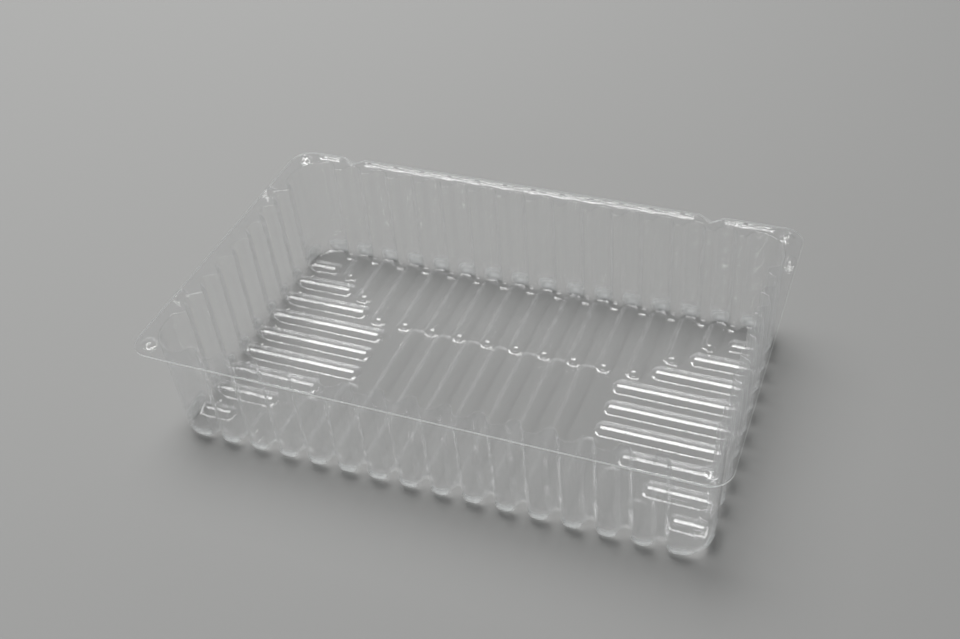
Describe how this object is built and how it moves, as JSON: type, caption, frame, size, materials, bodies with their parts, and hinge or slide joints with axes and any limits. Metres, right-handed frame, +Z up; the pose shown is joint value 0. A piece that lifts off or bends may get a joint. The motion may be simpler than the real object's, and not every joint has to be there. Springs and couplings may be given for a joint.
{
  "type": "blister tray",
  "caption": "Clear thermoformed packing tray with fluted walls, a ribbed floor and a flat rim with corner studs, open at the top.",
  "frame": {"origin": "on the standing surface, below the middle of the tray", "axes": "+X along the long side, +Y towards the side whose rim has the raised bead, +Z up"},
  "size_m": [0.187, 0.116, 0.042],
  "materials": {
    "clear_plastic": "clear, glossy, as formed"
  },
  "bodies": {
    "root": {"tray": "clear_plastic"}
  },
  "joints": []
}
